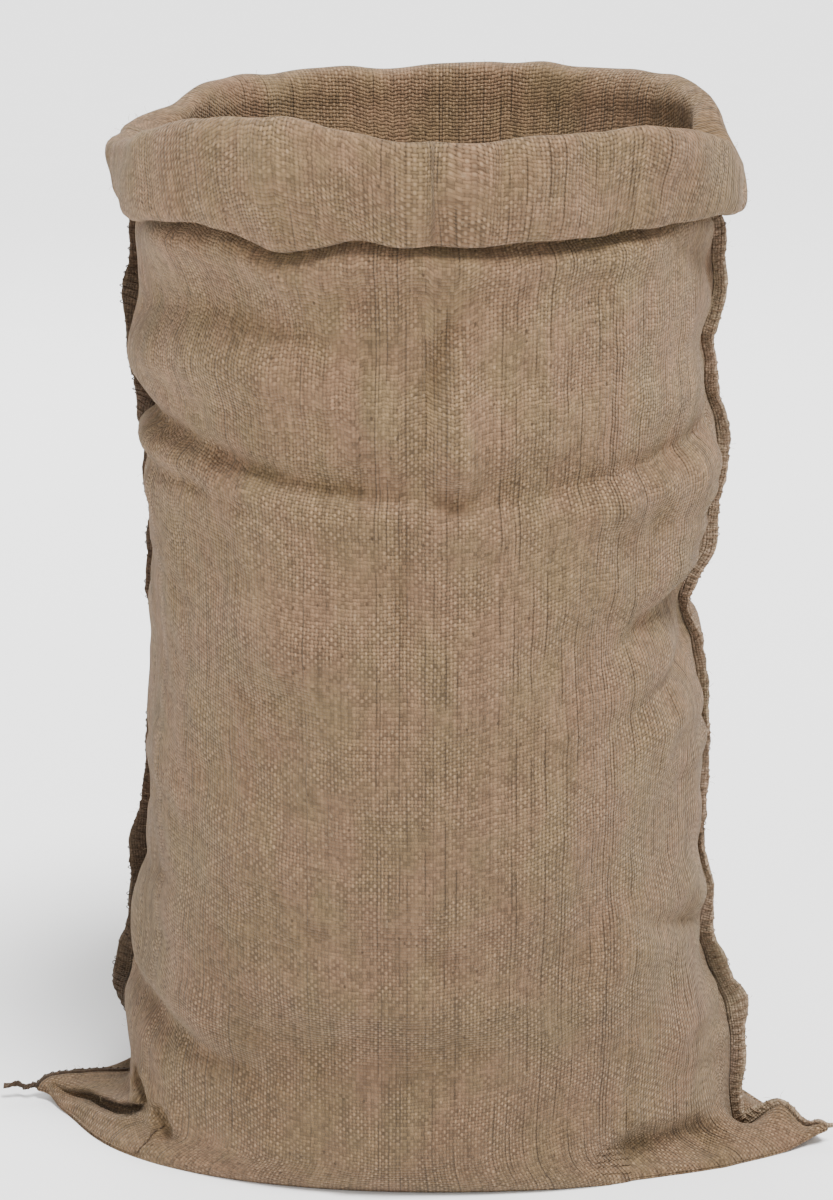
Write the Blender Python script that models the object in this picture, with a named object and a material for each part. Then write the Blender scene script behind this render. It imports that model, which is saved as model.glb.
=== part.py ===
"""A hessian sack that stands open on the floor, with its mouth turned down outwards into a cuff.

The sack is one length of jute hessian, folded in half across the bottom and sewn up both sides. Filled, its
bottom fold lies along the floor, its two bottom corners stand out as flattened ears, and each side seam shows
as a narrow doubled edge that runs from an ear's tip up under the cuff. Metres, +Z up, front towards -Y. The
origin is on the floor, under the middle of the sack.
"""

import math
from collections import namedtuple

import bmesh
import bpy
import numpy as np

# The cloth as it was cut and sewn
FLAT_WIDTH = 0.500  # of the sack, laid flat
SEAM_WIDTH = 0.010  # doubled edge that stands out from each side
SEAM_THICKNESS = 0.0030
CLOTH = 0.0020  # thickness of the hessian
PANEL = FLAT_WIDTH - SEAM_WIDTH - 0.004  # across the front, from seam to seam
SEAM_GAP = 0.0006  # between the cloth and the foot of a seam's edge
TO_ORIGIN = (0.0030, 0.0004, 0.0)  # brings the middle of the sack, tails and all, over the origin

# How finely the solid follows the cloth
COLUMNS = 28  # across the front, and as many across the back
BASE_STEPS = 3  # from the bottom fold to the edge of the footprint
DENSE = 360  # points of a section before it is shared out evenly

FULLNESS = 2.12  # the round of the sections, as the power of a superellipse
TWIST = math.radians(-7.5)  # the seams lie behind the left side and in front of the right one

# Horizontal sections of the filled sack: the height, how far it reaches to the left and to the right, and how
# far to the front and to the back
Section = namedtuple("Section", "height left right front back")
SECTIONS = (
    Section(0.000, -0.205, 0.230, 0.109, 0.107),
    Section(0.005, -0.197, 0.218, 0.114, 0.111),
    Section(0.011, -0.186, 0.203, 0.117, 0.114),
    Section(0.020, -0.178, 0.192, 0.119, 0.116),
    Section(0.035, -0.175, 0.186, 0.120, 0.117),
    Section(0.065, -0.176, 0.184, 0.121, 0.118),
    Section(0.095, -0.175, 0.175, 0.125, 0.121),
    Section(0.125, -0.168, 0.163, 0.136, 0.132),
    Section(0.150, -0.167, 0.166, 0.136, 0.132),
    Section(0.190, -0.160, 0.161, 0.142, 0.138),
    Section(0.230, -0.156, 0.160, 0.145, 0.140),
    Section(0.270, -0.156, 0.160, 0.145, 0.139),
    Section(0.308, -0.155, 0.157, 0.147, 0.142),
    Section(0.333, -0.155, 0.151, 0.149, 0.145),
    Section(0.362, -0.155, 0.163, 0.145, 0.139),
    Section(0.390, -0.154, 0.164, 0.143, 0.138),
    Section(0.410, -0.153, 0.168, 0.142, 0.137),
    Section(0.428, -0.159, 0.166, 0.139, 0.135),
    Section(0.442, -0.153, 0.162, 0.142, 0.138),
    Section(0.463, -0.159, 0.161, 0.143, 0.139),
    Section(0.482, -0.162, 0.162, 0.142, 0.138),
    Section(0.508, -0.156, 0.164, 0.144, 0.140),
    Section(0.532, -0.152, 0.165, 0.144, 0.141),
    Section(0.560, -0.152, 0.162, 0.143, 0.141),
    Section(0.600, -0.153, 0.162, 0.144, 0.142),
)

# The ears: where each seam runs, at a height, along the top of a bottom corner out to its tip
Ridge = namedtuple("Ridge", "height left_x left_y right_x right_y")
RIDGES = (
    Ridge(0.000, -0.2500, 0.006, 0.2440, -0.050),
    Ridge(0.005, -0.2475, 0.007, 0.2400, -0.049),
    Ridge(0.010, -0.2370, 0.009, 0.2310, -0.045),
    Ridge(0.015, -0.2180, 0.012, 0.2180, -0.040),
    Ridge(0.020, -0.1960, 0.015, 0.2060, -0.035),
    Ridge(0.027, -0.1830, 0.018, 0.1965, -0.031),
    Ridge(0.036, -0.1780, 0.020, 0.1900, -0.028),
    Ridge(0.050, -0.1765, 0.021, 0.1855, -0.026),
    Ridge(0.070, -0.1760, 0.021, 0.1825, -0.023),
)
RIDGE_TOP = 0.090  # above which a seam simply follows the body
EAR_SPREADS = (math.radians(5.5), math.radians(15))  # how quickly the left and the right ear narrow to a tip
EAR_BLUNT = math.radians(3.0)

# The heights at which the solid has a row of points, from the floor up to the cuff
WALL_ROWS = (
    0.000, 0.005, 0.010, 0.015, 0.020, 0.027, 0.036, 0.050, 0.070, 0.092, 0.115, 0.138, 0.162, 0.190, 0.220,
    0.250, 0.280, 0.305, 0.324, 0.340, 0.356, 0.373, 0.390, 0.404, 0.416, 0.427, 0.438, 0.449, 0.461, 0.476,
    0.492, 0.507, 0.520, 0.534,
)

# The cuff, as a profile from the wall over the rim and down outside: outwards from the wall, and the share of
# the way up from the cuff's lower edge to its rim
CuffPoint = namedtuple("CuffPoint", "out share")
CUFF = (
    CuffPoint(0.0000, 0.10),
    CuffPoint(0.0005, 0.55),
    CuffPoint(0.0015, 0.86),
    CuffPoint(0.0050, 0.985),
    CuffPoint(0.0095, 0.985),
    CuffPoint(0.0135, 0.880),
    CuffPoint(0.0158, 0.64),
    CuffPoint(0.0167, 0.38),
    CuffPoint(0.0163, 0.16),
    CuffPoint(0.0145, 0.03),
    CuffPoint(0.0115, 0.00),
    CuffPoint(0.0090, 0.07),
    CuffPoint(0.0085, 0.30),
)
CUFF_TURN = 4  # the point of the profile at the rim, past which it runs down outside

# Round the mouth, by how far across the front or the back a place is (-1 at the left seam, 1 at the right):
# the height of the rim, the height of the cuff's lower edge, how far the cuff swells past its profile, and the
# share of that by which its lower edge is tucked in towards the wall
Mouth = namedtuple("Mouth", "across rim edge swell tuck")
FRONT_MOUTH = (
    Mouth(-1.00, 0.588, 0.547, 0.002, 0.35),
    Mouth(-0.82, 0.599, 0.556, 0.003, 0.25),
    Mouth(-0.60, 0.612, 0.560, 0.001, 0.10),
    Mouth(-0.35, 0.620, 0.559, 0.001, 0.00),
    Mouth(-0.24, 0.617, 0.551, 0.003, 0.00),
    Mouth(-0.10, 0.609, 0.556, -0.001, 0.00),
    Mouth(0.06, 0.607, 0.552, -0.001, 0.00),
    Mouth(0.30, 0.613, 0.556, -0.001, 0.00),
    Mouth(0.52, 0.615, 0.558, 0.000, 0.00),
    Mouth(0.72, 0.605, 0.556, 0.001, 0.00),
    Mouth(0.90, 0.592, 0.550, 0.001, 0.05),
    Mouth(1.00, 0.584, 0.546, 0.001, 0.10),
)
BACK_MOUTH = (
    Mouth(-1.00, 0.588, 0.547, 0.002, 0.35),
    Mouth(-0.80, 0.594, 0.548, 0.001, 0.20),
    Mouth(-0.50, 0.607, 0.553, 0.000, 0.00),
    Mouth(-0.15, 0.609, 0.557, 0.001, 0.00),
    Mouth(0.25, 0.611, 0.551, -0.001, 0.00),
    Mouth(0.55, 0.610, 0.555, 0.001, 0.00),
    Mouth(0.75, 0.605, 0.558, 0.002, 0.05),
    Mouth(0.90, 0.594, 0.552, 0.001, 0.10),
    Mouth(1.00, 0.584, 0.546, 0.001, 0.10),
)

# Creases: a trough from one place through another to a third, with a softer ridge beside it. Places are metres
# across from the middle of the panel, and metres up. The ridge lies above the trough, or below it where its
# rise is negative.
Crease = namedtuple("Crease", "start middle end depth width ridge rise")
FRONT_CREASES = (
    # the long crease that hangs across the belly like a smile, from seam to seam
    Crease((-0.243, 0.452), (-0.150, 0.452), (-0.050, 0.433), 0.0070, 0.011, 0.0040, -0.019),
    Crease((-0.085, 0.439), (-0.020, 0.429), (0.050, 0.420), 0.0050, 0.011, 0.0015, -0.018),
    Crease((0.020, 0.421), (0.110, 0.438), (0.243, 0.445), 0.0060, 0.013, 0.0050, -0.024),
    Crease((-0.200, 0.421), (-0.130, 0.424), (-0.050, 0.411), 0.0040, 0.010, 0.0015, -0.018),
    # under the left of the cuff
    Crease((-0.225, 0.508), (-0.100, 0.523), (-0.010, 0.505), 0.0060, 0.014, 0.0035, -0.026),
    # upright folds near the middle
    Crease((0.036, 0.535), (0.027, 0.500), (0.019, 0.455), 0.0035, 0.011, 0.0000, 0.020),
    Crease((0.007, 0.416), (0.004, 0.360), (0.010, 0.290), 0.0025, 0.011, 0.0000, 0.020),
    # folds that run in from the notch in the right seam
    Crease((0.243, 0.336), (0.190, 0.344), (0.115, 0.322), 0.0080, 0.014, 0.0035, -0.024),
    Crease((0.243, 0.316), (0.185, 0.306), (0.112, 0.278), 0.0050, 0.014, 0.0030, -0.024),
    # smaller folds that run in from the seams, lower down
    Crease((0.243, 0.134), (0.195, 0.148), (0.140, 0.164), 0.0060, 0.013, 0.0030, 0.024),
    Crease((-0.243, 0.166), (-0.190, 0.174), (-0.115, 0.182), 0.0030, 0.014, 0.0020, -0.022),
    Crease((-0.243, 0.080), (-0.140, 0.098), (-0.070, 0.090), 0.0050, 0.016, 0.0035, 0.026),
    Crease((0.110, 0.027), (0.180, 0.030), (0.232, 0.038), 0.0040, 0.013, 0.0020, 0.026),
)
BACK_CREASES = (
    Crease((-0.243, 0.446), (-0.150, 0.436), (-0.040, 0.420), 0.0060, 0.013, 0.0040, 0.024),
    Crease((-0.050, 0.418), (0.090, 0.420), (0.243, 0.446), 0.0055, 0.013, 0.0040, -0.022),
    Crease((0.243, 0.510), (0.160, 0.500), (0.070, 0.504), 0.0050, 0.015, 0.0030, -0.026),
    Crease((-0.243, 0.345), (-0.180, 0.332), (-0.100, 0.300), 0.0060, 0.014, 0.0030, -0.026),
    Crease((0.243, 0.336), (0.180, 0.330), (0.110, 0.345), 0.0060, 0.014, 0.0030, -0.024),
    Crease((0.243, 0.230), (0.180, 0.244), (0.120, 0.248), 0.0040, 0.014, 0.0025, 0.024),
    Crease((-0.243, 0.150), (-0.170, 0.146), (-0.100, 0.120), 0.0045, 0.015, 0.0030, 0.026),
    Crease((0.243, 0.096), (0.190, 0.080), (0.110, 0.066), 0.0050, 0.016, 0.0030, 0.026),
)
CREASE_STEPS = 24  # points along a crease
CREASE_FLOOR = 0.030  # creases fade out towards the floor below this height
SEAM_DRAW = 0.0035  # how far the sewing draws each side in along its seam
SEAM_DRAW_WIDTH = 0.022
SEAM_DRAW_HEIGHTS = (0.050, 0.120)  # over which it fades in above an ear

# The doubled edge of each seam: how wide it stands at a height, and how far it leans, forwards where positive
Edge = namedtuple("Edge", "height left_width right_width left_lean right_lean")
EDGES = (
    Edge(0.000, 0.0030, 0.0040, -10, 8),
    Edge(0.010, 0.0035, 0.0055, -15, 8),
    Edge(0.020, 0.0045, 0.0065, -15, 10),
    Edge(0.040, 0.0070, 0.0080, -15, 14),
    Edge(0.080, 0.0100, 0.0095, 5, 22),
    Edge(0.130, 0.0100, 0.0095, 20, 18),
    Edge(0.200, 0.0090, 0.0095, -5, 28),
    Edge(0.300, 0.0080, 0.0090, -25, 22),
    Edge(0.335, 0.0090, 0.0070, -20, 10),
    Edge(0.400, 0.0100, 0.0095, -25, 20),
    Edge(0.450, 0.0100, 0.0090, 10, 26),
    Edge(0.500, 0.0105, 0.0100, 14, 12),
    Edge(0.541, 0.0100, 0.0095, 4, 5),
    Edge(0.545, 0.0034, 0.0048, 0, 0),
    Edge(0.556, 0.0032, 0.0044, 0, 0),
)
SEAM_TOP = (0.541, 0.545, 0.555)  # heights past the wall's last row, where the edge runs up under the cuff
TAIL_LENGTH = 0.010  # the seam's sewn end past an ear's tip

JUTE = (0.330, 0.225, 0.140, 1.0)
SEWN_EDGE = (0.150, 0.100, 0.062, 1.0)


def smooth_lookup(table, key, column, value):
    """A column of a table at a value of its key, along a smooth curve through the rows."""
    keys = np.array([getattr(row, key) for row in table])
    given = np.array([getattr(row, column) for row in table])
    slopes = np.gradient(given, keys)
    at = np.clip(value, keys[0], keys[-1])
    low = np.clip(np.searchsorted(keys, at, side="right") - 1, 0, len(keys) - 2)
    span = keys[low + 1] - keys[low]
    part = (at - keys[low]) / span
    square, cube = part**2, part**3
    return (
        (2 * cube - 3 * square + 1) * given[low]
        + (cube - 2 * square + part) * span * slopes[low]
        + (3 * square - 2 * cube) * given[low + 1]
        + (cube - square) * span * slopes[low + 1]
    )


def smooth_step(low, high, value):
    part = np.clip((value - low) / (high - low), 0, 1)
    return part * part * (3 - 2 * part)


def shared_out(points, count):
    """The same line with count + 1 points, evenly apart."""
    steps = np.linalg.norm(np.diff(points, axis=0), axis=1)
    along = np.concatenate([[0], np.cumsum(steps)])
    places = np.linspace(0, along[-1], count + 1)
    return np.stack([np.interp(places, along, points[:, k]) for k in range(points.shape[1])], axis=1)


def rounded(value, power):
    return np.sign(value) * np.abs(value) ** power


def half_section(height, is_front):
    """The front or the back of a section, from the left seam to the right, with the ears drawn out."""
    left, right, front, back = (smooth_lookup(SECTIONS, "height", name, height) for name in Section._fields[1:])
    turn = np.linspace(TWIST, math.pi + TWIST, DENSE)
    if not is_front:
        turn = TWIST - (turn - TWIST)
    middle, half = (left + right) / 2, (right - left) / 2
    x = middle - half * rounded(np.cos(turn), 2 / FULLNESS)
    depth = np.where(np.sin(turn) > 0, front, back)
    y = -depth * rounded(np.sin(turn), 2 / FULLNESS)
    follow = 1 - smooth_step(RIDGES[-1].height, RIDGE_TOP, height)
    away = np.abs(turn - turn[0])
    ends = [(x[0], y[0]), (x[-1], y[-1])]
    for end, side, angle, spread in zip(ends, ("left", "right"), (away, away[::-1]), EAR_SPREADS):
        pull = np.exp(-(np.hypot(angle, EAR_BLUNT) - EAR_BLUNT) / spread) * follow
        x = x + pull * (smooth_lookup(RIDGES, "height", side + "_x", height) - end[0])
        y = y + pull * (smooth_lookup(RIDGES, "height", side + "_y", height) - end[1])
    return np.stack([x, y], axis=1)


def wall_rows():
    """The sack's wall as rows of points from the floor up, one array for the front and one for the back."""
    sides = []
    for is_front in (True, False):
        rows = []
        for height in WALL_ROWS:
            line = shared_out(half_section(height, is_front), COLUMNS)
            rows.append(np.column_stack([line, np.full(len(line), height)]))
        sides.append(np.array(rows))
    front, back = sides
    ends = (front[:, [0, -1]] + back[:, [0, -1]]) / 2
    front[:, [0, -1]] = ends
    back[:, [0, -1]] = ends
    return front, back


def across_of(rows):
    """How far across the panel each point is: -1 at the left seam, 1 at the right."""
    return np.linspace(-1, 1, rows.shape[1])


def outward_of(front, back):
    """Unit vectors out of the sack at each point of the front and of the back, level with the floor."""
    ring = np.concatenate([front, back[:, -2:0:-1]], axis=1)
    along = np.roll(ring, -1, axis=1) - np.roll(ring, 1, axis=1)
    out = np.stack([along[..., 1], -along[..., 0], np.zeros(along.shape[:2])], axis=2)
    out /= np.linalg.norm(out, axis=2, keepdims=True)
    count = front.shape[1]
    back_out = np.concatenate([out[:, :1], out[:, : count - 2 : -1]], axis=1)
    return out[:, :count], back_out


def crease_push(creases, across, height):
    """How far the creases push a place in or out, at metres across the panel and metres up."""
    push = np.zeros_like(height)
    part = np.linspace(0, 1, CREASE_STEPS)[:, None]
    for crease in creases:
        start, middle, end = (np.array(place) for place in (crease.start, crease.middle, crease.end))
        pull = 2 * middle - (start + end) / 2
        points = (1 - part) ** 2 * start + 2 * part * (1 - part) * pull + part**2 * end
        for target, size, width in (
            (points, -crease.depth, crease.width),
            (points + (0, crease.rise), crease.ridge, 1.4 * crease.width),
        ):
            far = np.hypot(across[..., None] - target[:, 0], height[..., None] - target[:, 1])
            nearest = np.argmin(far, axis=-1)
            fade = np.clip((1 - part[nearest, 0]) / 0.5, 0, 1) ** 0.8
            push += size * fade * np.exp(-((far.min(axis=-1) / width) ** 2))
    return push


def creased(front, back):
    """The wall with its creases, and its sides drawn in along the seams."""
    shaped = []
    for rows, out, creases in zip((front, back), outward_of(front, back), (FRONT_CREASES, BACK_CREASES)):
        across = across_of(rows) * (PANEL / 2) * np.ones((len(rows), 1))
        height = rows[..., 2]
        push = crease_push(creases, across, height) * smooth_step(0.0, CREASE_FLOOR, height)
        near_seam = np.exp(-(((PANEL / 2 - np.abs(across)) / SEAM_DRAW_WIDTH) ** 2))
        push = push * (1 - near_seam) - SEAM_DRAW * smooth_step(*SEAM_DRAW_HEIGHTS, height) * near_seam
        shaped.append(rows + out * push[..., None])
    return shaped


def cuff_rows(rows, out, mouth):
    """The turned-down mouth that goes on above the wall's last row, over the rim and down outside."""
    across = across_of(rows)
    rim, edge, swell, tuck = (smooth_lookup(mouth, "across", name, across) for name in Mouth._fields[1:])
    widest = max(point.out for point in CUFF)
    made = []
    for step, point in enumerate(CUFF):
        low = (1 - point.share) ** 2 if step > CUFF_TURN else 0
        reach = point.out * (1 + swell / widest) * (1 - tuck * low)
        line = rows[-1] + out[-1] * reach[:, None]
        line[:, 2] = edge + (rim - edge) * point.share
        made.append(line)
    return np.array(made)


def sack_mesh():
    """The cloth's outer face as one sheet, from the bottom fold to the hem inside the cuff, and its seams."""
    front, back = creased(*wall_rows())
    out_front, out_back = outward_of(front, back)
    walls = len(front)
    front = np.concatenate([front, cuff_rows(front, out_front, FRONT_MOUTH)])
    back = np.concatenate([back, cuff_rows(back, out_back, BACK_MOUTH)])
    middle = (front[0] + back[0]) / 2
    last = COLUMNS
    mesh = bmesh.new()
    fold = [mesh.verts.new(place) for place in middle]
    levels = {True: [fold], False: [fold]}
    for rows, is_front in ((front, True), (back, False)):
        for step in range(1, BASE_STEPS + 1):
            inner = [mesh.verts.new(middle[c] + (rows[0, c] - middle[c]) * step / BASE_STEPS) for c in range(1, last)]
            levels[is_front].append([fold[0], *inner, fold[last]])
    for level in range(1, len(front)):
        ends = [mesh.verts.new(front[level, 0]), mesh.verts.new(front[level, last])]
        for rows, is_front in ((front, True), (back, False)):
            inner = [mesh.verts.new(rows[level, c]) for c in range(1, last)]
            levels[is_front].append([ends[0], *inner, ends[1]])
    for is_front, grid in levels.items():
        for lower, upper in zip(grid, grid[1:]):
            for c in range(last):
                ring = [lower[c], lower[c + 1], upper[c + 1], upper[c]]
                ring = [v for i, v in enumerate(ring) if v not in ring[:i]]
                mesh.faces.new(ring if is_front else ring[::-1])
    seams = [(front[:walls, c], out_front[:, c]) for c in (0, last)]
    return mesh, seams


def unit(vectors):
    return vectors / np.linalg.norm(vectors, axis=1, keepdims=True)


def seam_edge(path, out, side):
    """The doubled cloth edge along a seam, from the sewn tail past the ear's tip to its end under the cuff."""
    name = "left" if side < 0 else "right"
    under_cuff = [(*path[-1, :2], height) for height in SEAM_TOP]
    path = np.concatenate([path[:1], path, under_cuff])
    out = np.concatenate([out[:1], out, [out[-1]] * len(under_cuff)])
    path[:2, 2] += 0.0025
    path[0] += (side * TAIL_LENGTH, 0.0, 0.0015)
    height = path[:, 2]
    tangent = unit(np.gradient(path, axis=0))
    upward = np.array([0.0, 0.0, 1.0]) * (1 - smooth_step(0.03, 0.07, height))[:, None]
    way = out + 2 * upward
    way = unit(way - (way * tangent).sum(axis=1, keepdims=True) * tangent)
    forward = unit(np.cross(tangent, way))
    forward *= np.where(forward[:, 1:2] < 0, 1, -1)
    heights = [edge.height for edge in EDGES]
    lean = np.radians(np.interp(height, heights, [getattr(edge, name + "_lean") for edge in EDGES]))[:, None]
    width = np.interp(height, heights, [getattr(edge, name + "_width") for edge in EDGES])[:, None]
    leaning = way * np.cos(lean) + forward * np.sin(lean)
    aside = forward * np.cos(lean) - way * np.sin(lean)
    foot = path + leaning * (SEAM_GAP + np.abs(np.sin(lean)) * SEAM_THICKNESS / 2)
    half = aside * SEAM_THICKNESS / 2
    mesh = bmesh.new()
    rings = []
    for k in range(len(path)):
        edge = path[k] + leaning[k] * width[k]
        corners = (foot[k] - half[k], foot[k] + half[k], edge + half[k], edge - half[k])
        rings.append([mesh.verts.new(corner) for corner in corners])
    for lower, upper in zip(rings, rings[1:]):
        for k in range(4):
            mesh.faces.new((lower[k], lower[(k + 1) % 4], upper[(k + 1) % 4], upper[k]))
    mesh.faces.new(rings[0][::-1])
    mesh.faces.new(rings[-1])
    bmesh.ops.recalc_face_normals(mesh, faces=mesh.faces)
    return mesh


def material(name, colour, roughness):
    made = bpy.data.materials.new(name)
    made.use_nodes = True
    shader = made.node_tree.nodes["Principled BSDF"]
    shader.inputs["Base Color"].default_value = colour
    shader.inputs["Roughness"].default_value = roughness
    shader.inputs["Metallic"].default_value = 0.0
    return made


def place(name, shape, finish):
    """A new object that holds a bmesh, shaded smooth."""
    bmesh.ops.translate(shape, vec=TO_ORIGIN, verts=shape.verts)
    mesh = bpy.data.meshes.new(name)
    shape.to_mesh(mesh)
    shape.free()
    mesh.materials.append(finish)
    mesh.shade_smooth()
    made = bpy.data.objects.new(name, mesh)
    bpy.context.scene.collection.objects.link(made)
    return made


def build():
    for old in list(bpy.data.objects):
        bpy.data.objects.remove(old)
    hessian = material("hessian", JUTE, 0.95)
    sewn = material("sewn_edge", SEWN_EDGE, 0.95)
    cloth_shape, seams = sack_mesh()
    cloth = place("hessian_cloth", cloth_shape, hessian)
    shell = cloth.modifiers.new("cloth thickness", "SOLIDIFY")
    shell.thickness = CLOTH
    shell.offset = -1
    place("left_seam", seam_edge(*seams[0], -1), sewn)
    place("right_seam", seam_edge(*seams[1], 1), sewn)


build()
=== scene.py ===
"""The looks of a hessian sack that stands open on the floor, its mouth turned down outwards into a cuff.

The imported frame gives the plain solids. This script lays finely woven cloth over them: the front and the back
panel with their folds, the overcast edges of the two side seams, and loose jute fibres. Metres, +Z up.
"""

import math
from collections import namedtuple

import bmesh
import bpy
import numpy as np
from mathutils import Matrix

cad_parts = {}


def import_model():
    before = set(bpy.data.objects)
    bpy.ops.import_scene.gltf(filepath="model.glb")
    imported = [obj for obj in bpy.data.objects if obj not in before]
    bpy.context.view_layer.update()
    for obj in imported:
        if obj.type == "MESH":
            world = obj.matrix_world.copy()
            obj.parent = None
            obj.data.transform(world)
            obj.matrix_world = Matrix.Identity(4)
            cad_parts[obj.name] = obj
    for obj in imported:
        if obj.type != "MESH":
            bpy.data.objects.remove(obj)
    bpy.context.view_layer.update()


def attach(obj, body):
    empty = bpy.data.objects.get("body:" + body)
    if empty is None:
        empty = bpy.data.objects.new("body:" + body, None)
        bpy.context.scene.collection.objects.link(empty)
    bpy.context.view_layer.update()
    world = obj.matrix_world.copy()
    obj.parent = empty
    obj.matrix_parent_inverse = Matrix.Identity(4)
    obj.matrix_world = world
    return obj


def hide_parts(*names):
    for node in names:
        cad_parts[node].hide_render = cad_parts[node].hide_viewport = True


def table(columns, *rows):
    """Rows of values that can be called by the names of their columns."""
    row = namedtuple("Row", columns)
    return tuple(row(*values) for values in rows)


# ---- The sack, as it was cut and sewn
FLAT_WIDTH = 0.5  # of the sack, laid flat
SEAM_WIDTH = 0.01  # doubled edge that stands out from each side
CLOTH = 0.0017  # thickness of the hessian
SEAM_ROOM = 0.004  # that the overcasting takes up
HALF = (FLAT_WIDTH - SEAM_WIDTH - SEAM_ROOM) / 2  # of a panel, from its middle to a seam
TO_ORIGIN = np.array([0.003, 0.0004, 0.0])  # brings the middle of the sack over the origin

# Under the cuff
UNDER_EDGE = 0.003  # how far under the cuff's lower edge the last row of the wall lies
PINCH = 0.003  # how far the wall draws in there
PINCH_HEIGHTS = (-0.0085, -0.002)  # over these heights from the cuff's lower edge
PINCH_ENDS = (0.74, 0.96)  # and it lets off over this part of the way from the middle to a seam
PINCH_LET_OFF = 0.85  # by this share
BULGE = 0.0075  # how far it stands out below that
BULGE_HEIGHT = -0.012
BULGE_REACH = 0.012
BULGE_ENDS = (0.52, 0.78)
BULGE_LET_OFF = 0.95

# How finely the cloth is laid out
COLUMNS = 176  # across each panel
CROWDING = 0.32  # of the columns towards the seams
BASE_STEPS = 10  # from the bottom fold to the edge of the footprint
DENSE = 900  # points of a section before it is shared out evenly
EAR_ROWS = 46  # rows in the height of the ears
EAR_HEIGHT = 0.036
EAR_CROWDING = 1.15  # of those rows towards the floor
WALL_ROWS = 152  # rows from there up to the cuff
WALL_TOP = 0.54
FOLLOW_EDGE = (0.495, 0.54)  # from here up the rows come to follow the cuff's lower edge
SHOULDER_ROWS = 40  # of the wall, whose mean direction is the cuff's
CUFF_ROWS = 54

FULLNESS = 2.12  # the round of the sections, as the power of a superellipse
TWIST = math.radians(-7.5)  # the seams lie behind the left side and in front of the right one
MIDDLE_X = (-0.013, 0.022)  # where the middle threads of the front and of the back run up
GIVE = 3.5  # how steeply the cloth above the ears gives way towards the seams, in full from GIVE_HEIGHT up
GIVE_HEIGHT = 0.12

# Horizontal sections of the filled sack: how far it reaches each way at a height
SECTIONS = table(
    "height left right front back",
    (0, -0.205, 0.23, 0.109, 0.107),
    (0.005, -0.197, 0.218, 0.114, 0.111),
    (0.011, -0.186, 0.203, 0.117, 0.114),
    (0.02, -0.178, 0.192, 0.119, 0.116),
    (0.035, -0.174, 0.187, 0.12, 0.117),
    (0.065, -0.174, 0.186, 0.121, 0.118),
    (0.095, -0.172, 0.181, 0.125, 0.121),
    (0.125, -0.165, 0.171, 0.136, 0.132),
    (0.15, -0.164, 0.175, 0.136, 0.132),
    (0.19, -0.159, 0.169, 0.142, 0.138),
    (0.23, -0.158, 0.168, 0.145, 0.14),
    (0.25, -0.157, 0.17, 0.145, 0.139),
    (0.27, -0.155, 0.168, 0.145, 0.139),
    (0.308, -0.152, 0.161, 0.147, 0.142),
    (0.333, -0.154, 0.154, 0.149, 0.145),
    (0.362, -0.152, 0.166, 0.145, 0.139),
    (0.39, -0.154, 0.169, 0.143, 0.138),
    (0.41, -0.155, 0.173, 0.142, 0.137),
    (0.428, -0.155, 0.173, 0.139, 0.135),
    (0.442, -0.151, 0.17, 0.142, 0.138),
    (0.463, -0.153, 0.166, 0.143, 0.139),
    (0.482, -0.157, 0.163, 0.142, 0.138),
    (0.508, -0.155, 0.168, 0.144, 0.14),
    (0.532, -0.155, 0.167, 0.144, 0.141),
    (0.56, -0.152, 0.163, 0.143, 0.141),
    (0.6, -0.153, 0.162, 0.144, 0.142),
)

# The ears: where each seam runs, at a height, along the top of a bottom corner out to its tip
RIDGES = table(
    "height left_x left_y right_x right_y",
    (0, -0.25, 0.006, 0.244, -0.05),
    (0.005, -0.2475, 0.007, 0.24, -0.049),
    (0.01, -0.237, 0.009, 0.231, -0.045),
    (0.015, -0.218, 0.012, 0.218, -0.04),
    (0.02, -0.196, 0.015, 0.206, -0.035),
    (0.027, -0.183, 0.018, 0.1965, -0.031),
    (0.036, -0.178, 0.02, 0.191, -0.028),
    (0.05, -0.176, 0.021, 0.188, -0.026),
    (0.07, -0.175, 0.021, 0.186, -0.023),
)
RIDGE_TOP = 0.09  # above which a seam simply follows the body
EAR_SPREADS = (math.radians(5.5), math.radians(15))  # how quickly the left and the right ear narrow to a tip
BACK_EAR_SPREADS = (math.radians(5.5), math.radians(8))
BACK_TRIM = 0.031  # by which the back of the right ear reaches less far out on the floor than its front
BACK_TRIM_HEIGHT = 0.03
EAR_BLUNT = math.radians(3.0)

# The cuff, as a profile from the wall over the rim and down outside: outwards from the wall, and the share of
# the way up from the cuff's lower edge to its rim
CUFF = table(
    "out share",
    (0, 0.1),
    (0.0004, 0.55),
    (0.001, 0.84),
    (0.0032, 0.95),
    (0.0085, 0.985),
    (0.0125, 0.985),
    (0.0144, 0.935),
    (0.0156, 0.8),
    (0.0165, 0.58),
    (0.0168, 0.36),
    (0.0163, 0.16),
    (0.0145, 0.03),
    (0.0115, 0),
    (0.009, 0.07),
    (0.0085, 0.3),
)
CUFF_TALL = 0.055  # from the cuff's lower edge to its rim, roughly
CUFF_TURN = 5  # the point of the profile at the rim, past which it runs down outside
ROLL_INSET = 0.01  # how far the roll of the rim reaches in over the mouth at the seams

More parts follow.
